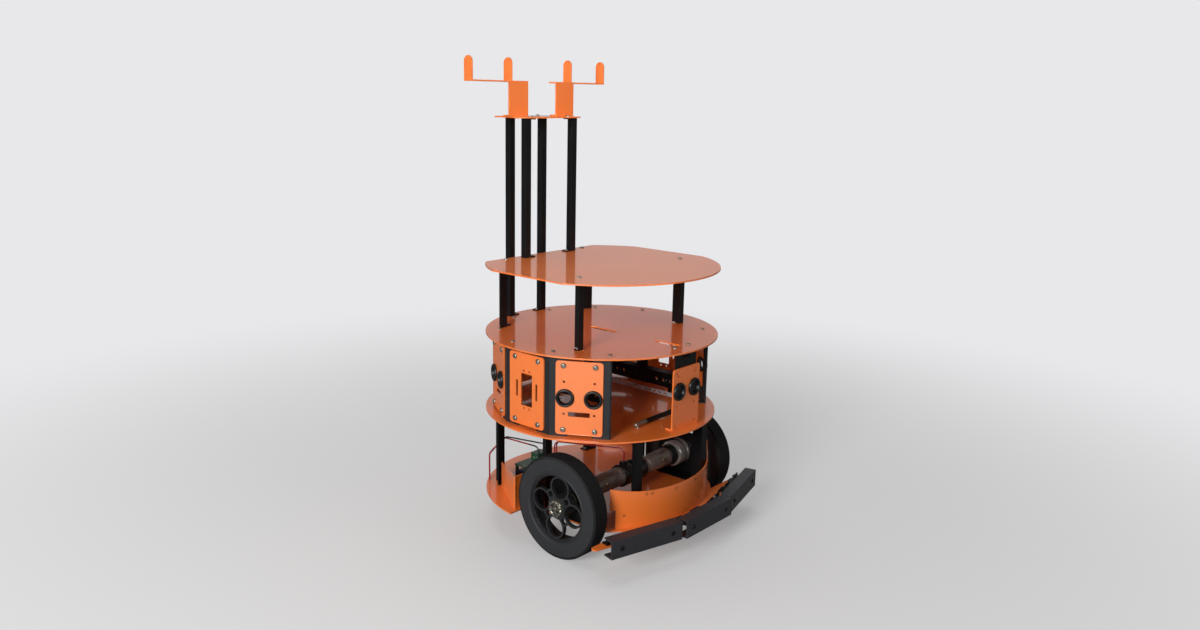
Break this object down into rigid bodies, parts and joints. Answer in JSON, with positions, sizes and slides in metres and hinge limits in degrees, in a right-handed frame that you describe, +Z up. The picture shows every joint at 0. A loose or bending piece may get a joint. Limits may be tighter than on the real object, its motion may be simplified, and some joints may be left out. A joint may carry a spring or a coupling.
{
  "type": "mobile robot platform",
  "caption": "Round two-wheel-drive robot base with a ring of sensor panels, an upper deck, a mast with sensor forks and a sprung front bumper.",
  "frame": {"origin": "on the floor, under the common centre of the round plates", "axes": "+Z up, the bumper faces -Y, both drive wheels turn about X; left in the node names means the -X side"},
  "size_m": [0.33, 0.353, 0.6335],
  "materials": {
    "orange_sheet": "gloss powder coat",
    "black_sheet": "satin powder coat",
    "grey_bar": "satin dark grey coat",
    "black_plastic": "moulded, satin",
    "gear_steel": "machined steel gearbox shell",
    "motor_can": "drawn steel can",
    "tyre_rubber": "ribbed rubber",
    "wheel_plastic": "moulded, satin",
    "hub_metal": "turned coupling",
    "battery_wrap": "shrink wrap",
    "circuit_board": "solder mask with parts",
    "caster_rubber": "solid rubber tread",
    "plated_steel": "zinc plate",
    "rod_black": "satin black",
    "wire_sleeve": "coloured insulation"
  },
  "bodies": {
    "chassis": {"base_plate": "orange_sheet", "base_posts_left": "black_sheet", "base_posts_right": "black_sheet", "battery_pack": "battery_wrap", "bay_beam_left": "black_sheet", "bay_beam_right": "black_sheet", "bay_floor_plate": "orange_sheet", "bay_posts_left": "black_sheet", "bay_posts_right": "black_sheet", "bay_roof_plate": "orange_sheet", "bay_strips": "plated_steel", "bumper_carriers": "black_sheet", "bumper_switches": "black_plastic", "caster_plate": "plated_steel", "deck_post_front_left": "black_sheet", "deck_post_front_right": "black_sheet", "deck_post_rear_left": "black_sheet", "deck_post_rear_right": "black_sheet", "driver_board": "circuit_board", "eye_bezels": "black_plastic", "eye_panel_150": "orange_sheet", "eye_panel_210": "orange_sheet", "eye_panel_30": "orange_sheet", "eye_panel_330": "orange_sheet", "eye_panel_front": "orange_sheet", "front_fender": "orange_sheet", "front_tie": "black_sheet", "gearbox_left": "gear_steel", "gearbox_right": "gear_steel", "mast_plate": "orange_sheet", "mast_post_front_left": "black_sheet", "mast_post_front_right": "black_sheet", "mast_post_rear_left": "black_sheet", "mast_post_rear_right": "black_sheet", "motor_bracket_left": "black_sheet", "motor_bracket_right": "black_sheet", "motor_left": "motor_can", "motor_right": "motor_can", "rear_panels": "orange_sheet", "sensor_fork_left": "orange_sheet", "sensor_fork_right": "orange_sheet", "tie_rod": "rod_black", "upper_deck": "orange_sheet", "wheel_guard_left": "orange_sheet", "wheel_guard_right": "orange_sheet", "window_panel_0": "orange_sheet", "window_panel_180": "orange_sheet", "wires": "wire_sleeve"},
    "wheel_left": {"tyre_left": "tyre_rubber", "wheel_rim_left": "wheel_plastic", "wheel_hub_left": "hub_metal"},
    "wheel_right": {"tyre_right": "tyre_rubber", "wheel_rim_right": "wheel_plastic", "wheel_hub_right": "hub_metal"},
    "caster_swivel": {"caster_fork": "plated_steel"},
    "caster_roller": {"caster_wheel": "caster_rubber"},
    "bumper_left": {"bumper_bar_left": "grey_bar"},
    "bumper_centre": {"bumper_bar_centre": "grey_bar"},
    "bumper_right": {"bumper_bar_right": "grey_bar"}
  },
  "joints": [
    {"name": "wheel_left_spin", "type": "hinge", "parent": "chassis", "child": "wheel_left", "pos_m": [-0.138, -0.056, 0.068], "axis": [1, 0, 0], "continuous": true},
    {"name": "wheel_right_spin", "type": "hinge", "parent": "chassis", "child": "wheel_right", "pos_m": [0.138, -0.056, 0.068], "axis": [1, 0, 0], "continuous": true},
    {"name": "caster_turn", "type": "hinge", "parent": "chassis", "child": "caster_swivel", "pos_m": [0, 0.118, 0.035], "axis": [0, 0, 1], "continuous": true},
    {"name": "caster_roll", "type": "hinge", "parent": "caster_swivel", "child": "caster_roller", "pos_m": [0, 0.129, 0.014], "axis": [1, 0, 0], "continuous": true},
    {"name": "bumper_left_press", "type": "slide", "parent": "chassis", "child": "bumper_left", "axis": [0.2554, 0.9668, 0], "range_m": [0, 0.004], "stiffness_N_per_m": 250},
    {"name": "bumper_centre_press", "type": "slide", "parent": "chassis", "child": "bumper_centre", "axis": [0, 1, 0], "range_m": [0, 0.004], "stiffness_N_per_m": 250},
    {"name": "bumper_right_press", "type": "slide", "parent": "chassis", "child": "bumper_right", "axis": [-0.2554, 0.9668, 0], "range_m": [0, 0.004], "stiffness_N_per_m": 250}
  ]
}
